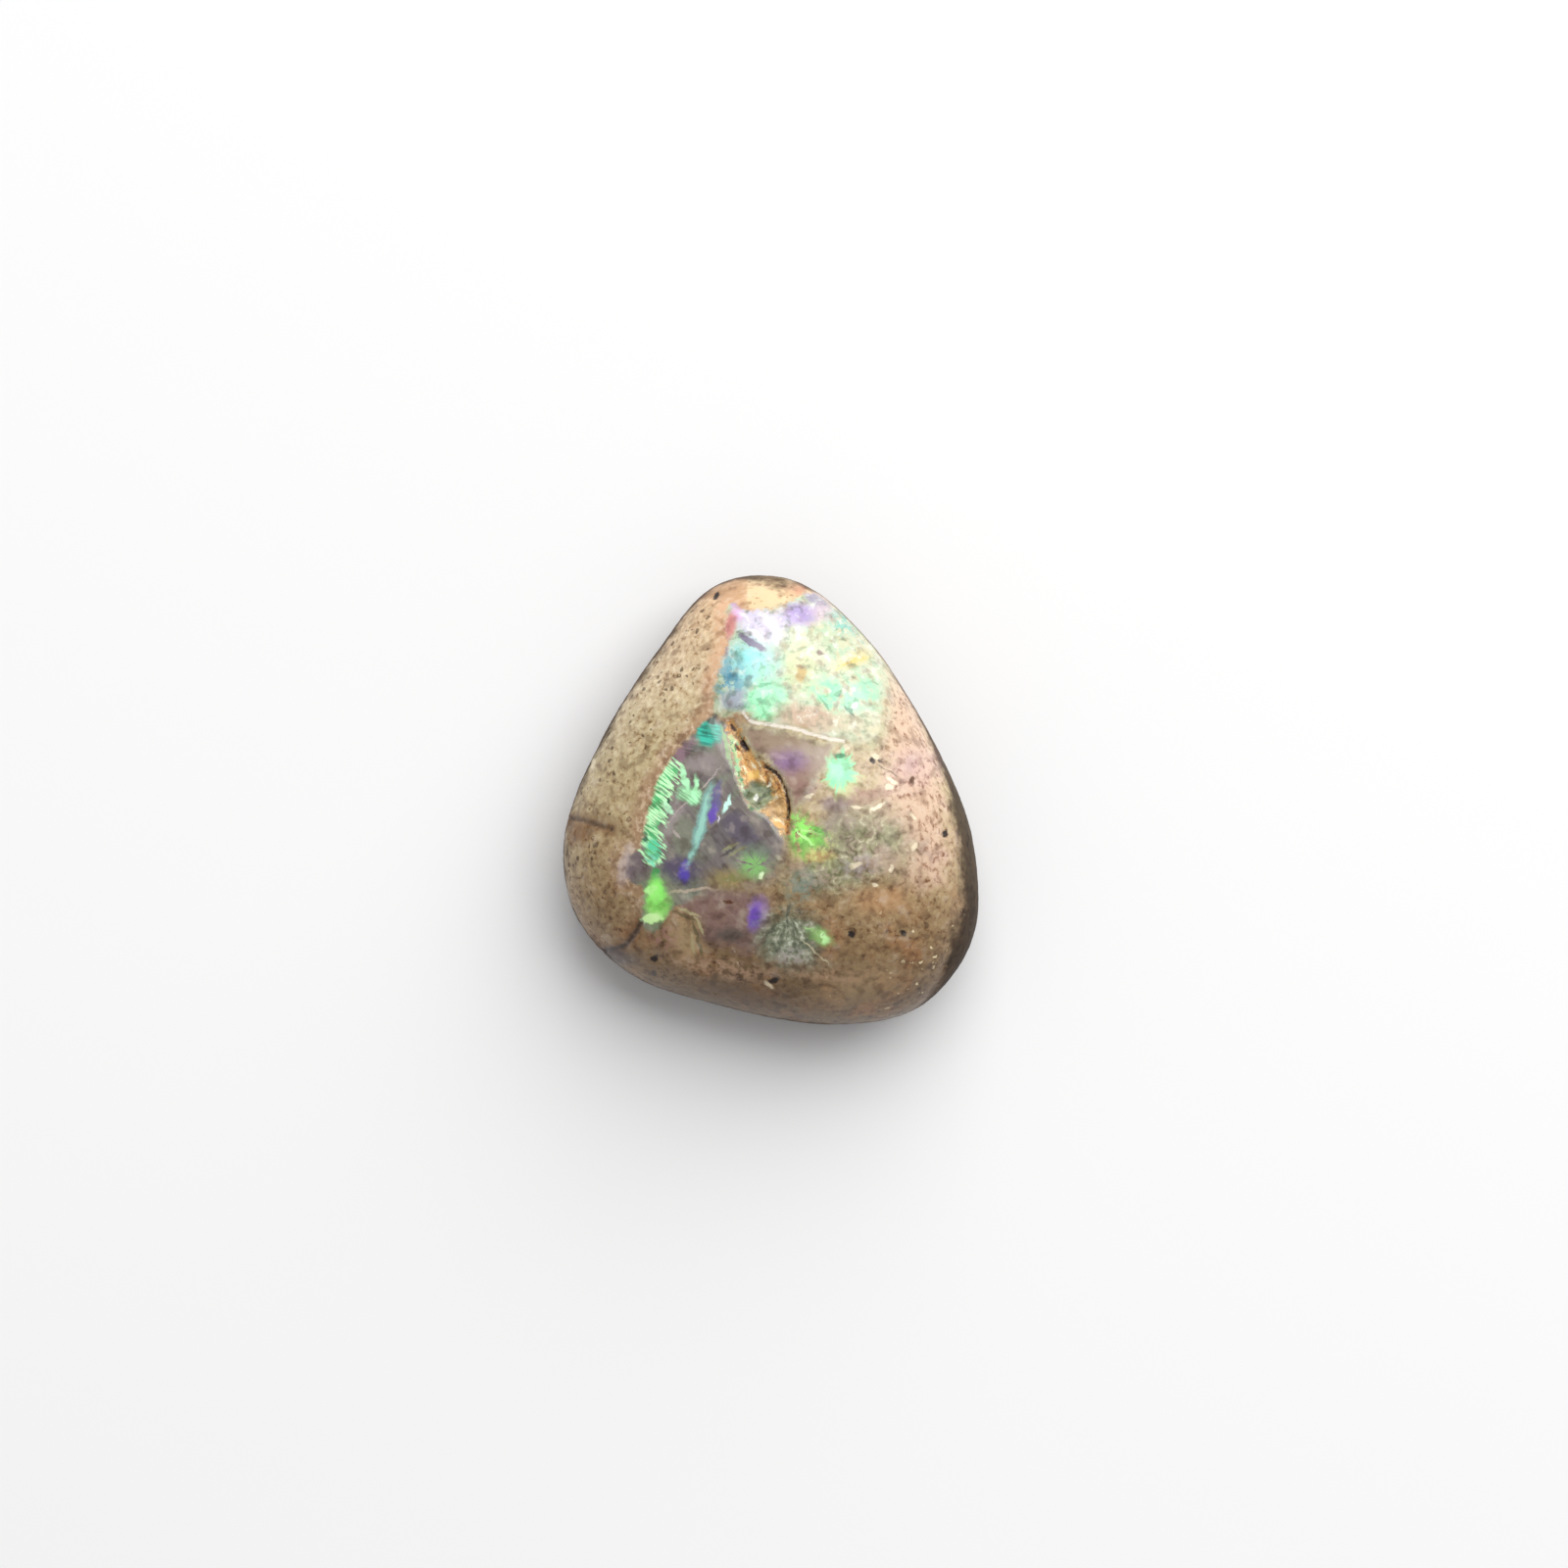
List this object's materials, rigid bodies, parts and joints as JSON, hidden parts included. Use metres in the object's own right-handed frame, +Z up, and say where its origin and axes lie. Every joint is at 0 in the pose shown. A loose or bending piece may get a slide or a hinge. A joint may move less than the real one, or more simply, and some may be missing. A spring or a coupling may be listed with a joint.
{
  "type": "polished boulder opal",
  "caption": "Small freeform boulder opal: a rounded triangular stone with a low polished dome of opal patches in sandstone, resting on a flat ground back.",
  "frame": {"origin": "under the middle of the stone's outline, on the plane of its flat ground back", "axes": "+Z up out of the polished face, +Y along the stone's length towards its narrow tip"},
  "size_m": [0.0097, 0.0105, 0.0042],
  "materials": {
    "boulder_opal": "polished sandstone and ironstone with patches of precious opal"
  },
  "bodies": {
    "root": {"opal_stone": "boulder_opal"}
  },
  "joints": []
}
